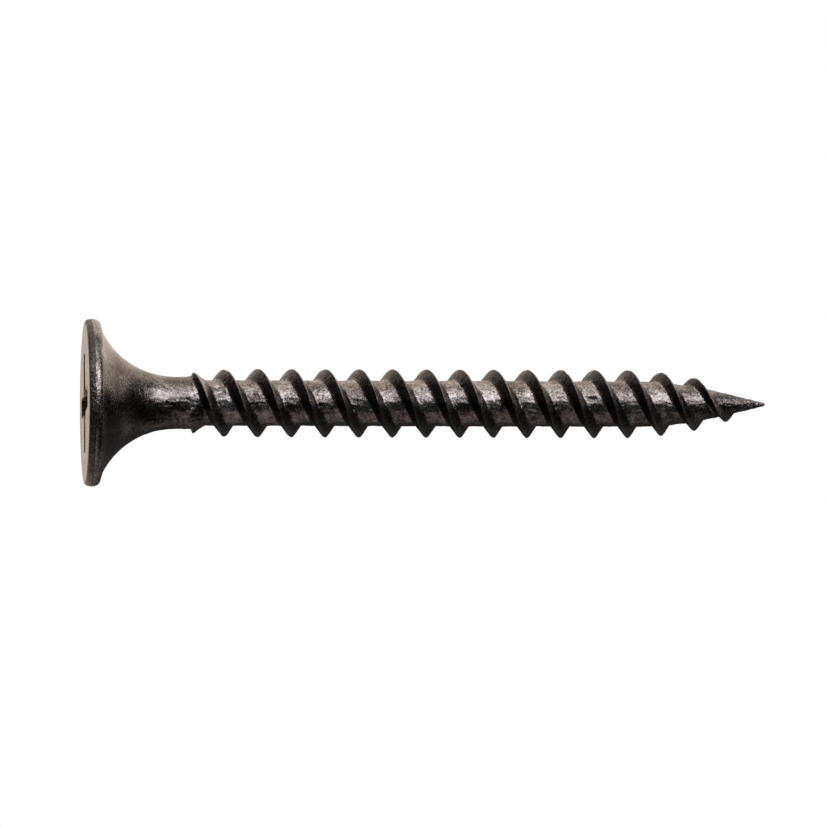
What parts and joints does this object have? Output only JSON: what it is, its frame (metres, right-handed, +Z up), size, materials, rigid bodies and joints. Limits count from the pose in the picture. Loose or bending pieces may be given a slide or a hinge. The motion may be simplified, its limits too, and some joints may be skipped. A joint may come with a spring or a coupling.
{
  "type": "bugle-head drywall screw",
  "caption": "Bugle-head drywall screw with a cross recess, a coarse twin-start thread up to a sharp point and a black phosphate finish.",
  "frame": {"origin": "centre of the flat face of the head, on the screw's axis", "axes": "+X along the axis from the head to the point; +Z up, out of the side that faces up when the screw lies down; +Y across"},
  "size_m": [0.0349, 0.0086, 0.0086],
  "materials": {
    "phosphate_steel": "hardened steel with a thin grey-black phosphate conversion coating, satin, slightly oiled"
  },
  "bodies": {
    "root": {"screw": "phosphate_steel"}
  },
  "joints": []
}
